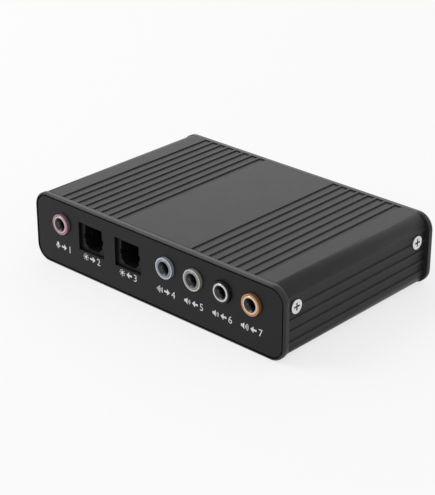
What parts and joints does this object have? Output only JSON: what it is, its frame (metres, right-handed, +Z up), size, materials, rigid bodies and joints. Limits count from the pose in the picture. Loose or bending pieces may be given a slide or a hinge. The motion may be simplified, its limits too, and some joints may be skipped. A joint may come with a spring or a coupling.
{
  "type": "sound card",
  "caption": "External sound card: flat ribbed box with plastic end caps, round audio jacks and square optical sockets in front, cord inlet behind.",
  "frame": {"origin": "middle of the flat underside, on the resting surface", "axes": "+X along the front to the right, +Y from front to rear, +Z up; the jacks face -Y"},
  "size_m": [0.11, 0.0744, 0.025],
  "materials": {
    "anodised_black": "black anodised, fine satin grain along the extrusion",
    "cap_plastic": "black moulded, fine texture",
    "faceplate_plastic": "black, satin",
    "screw_steel": "zinc plated",
    "jack_pink": "moulded",
    "jack_blue": "moulded",
    "jack_green": "moulded",
    "jack_black": "moulded",
    "jack_orange": "moulded",
    "nickel": "nickel plated",
    "contact_metal": "plated spring metal",
    "socket_black": "black moulded",
    "lens_smoke": "dark filter moulding",
    "lead_tin": "tinned",
    "tinned_steel": "tinned sheet",
    "board_green": "green solder mask",
    "chip_black": "moulded epoxy",
    "can_aluminium": "bright can",
    "chip_part_tan": "fired body",
    "lamp_clear": "frosted"
  },
  "bodies": {
    "root": {"sleeve": "anodised_black", "side_screws": "screw_steel", "front_cap": "cap_plastic", "rear_cap": "cap_plastic", "front_faceplate": "faceplate_plastic", "rear_faceplate": "faceplate_plastic", "circuit_board": "board_green", "usb_shell": "tinned_steel", "usb_insert": "socket_black", "usb_contacts": "contact_metal", "power_lamp": "lamp_clear", "power_lamp_leads": "lead_tin", "audio_chip": "chip_black", "audio_chip_leads": "lead_tin", "memory_chip": "chip_black", "memory_chip_leads": "lead_tin", "regulator": "chip_black", "regulator_leads": "lead_tin", "crystal": "tinned_steel", "capacitor": "can_aluminium", "capacitor_base": "socket_black", "chip_parts": "chip_part_tan", "jack_mic_body": "jack_pink", "jack_mic_ring": "nickel", "jack_mic_contacts": "contact_metal", "jack_line_in_body": "jack_blue", "jack_line_in_ring": "nickel", "jack_line_in_contacts": "contact_metal", "jack_front_out_body": "jack_green", "jack_front_out_ring": "nickel", "jack_front_out_contacts": "contact_metal", "jack_rear_out_body": "jack_black", "jack_rear_out_ring": "nickel", "jack_rear_out_contacts": "contact_metal", "jack_centre_out_body": "jack_orange", "jack_centre_out_ring": "nickel", "jack_centre_out_contacts": "contact_metal", "optical_in_body": "socket_black", "optical_in_element": "lens_smoke", "optical_in_leads": "lead_tin", "optical_out_body": "socket_black", "optical_out_element": "lens_smoke", "optical_out_leads": "lead_tin"}
  },
  "joints": []
}
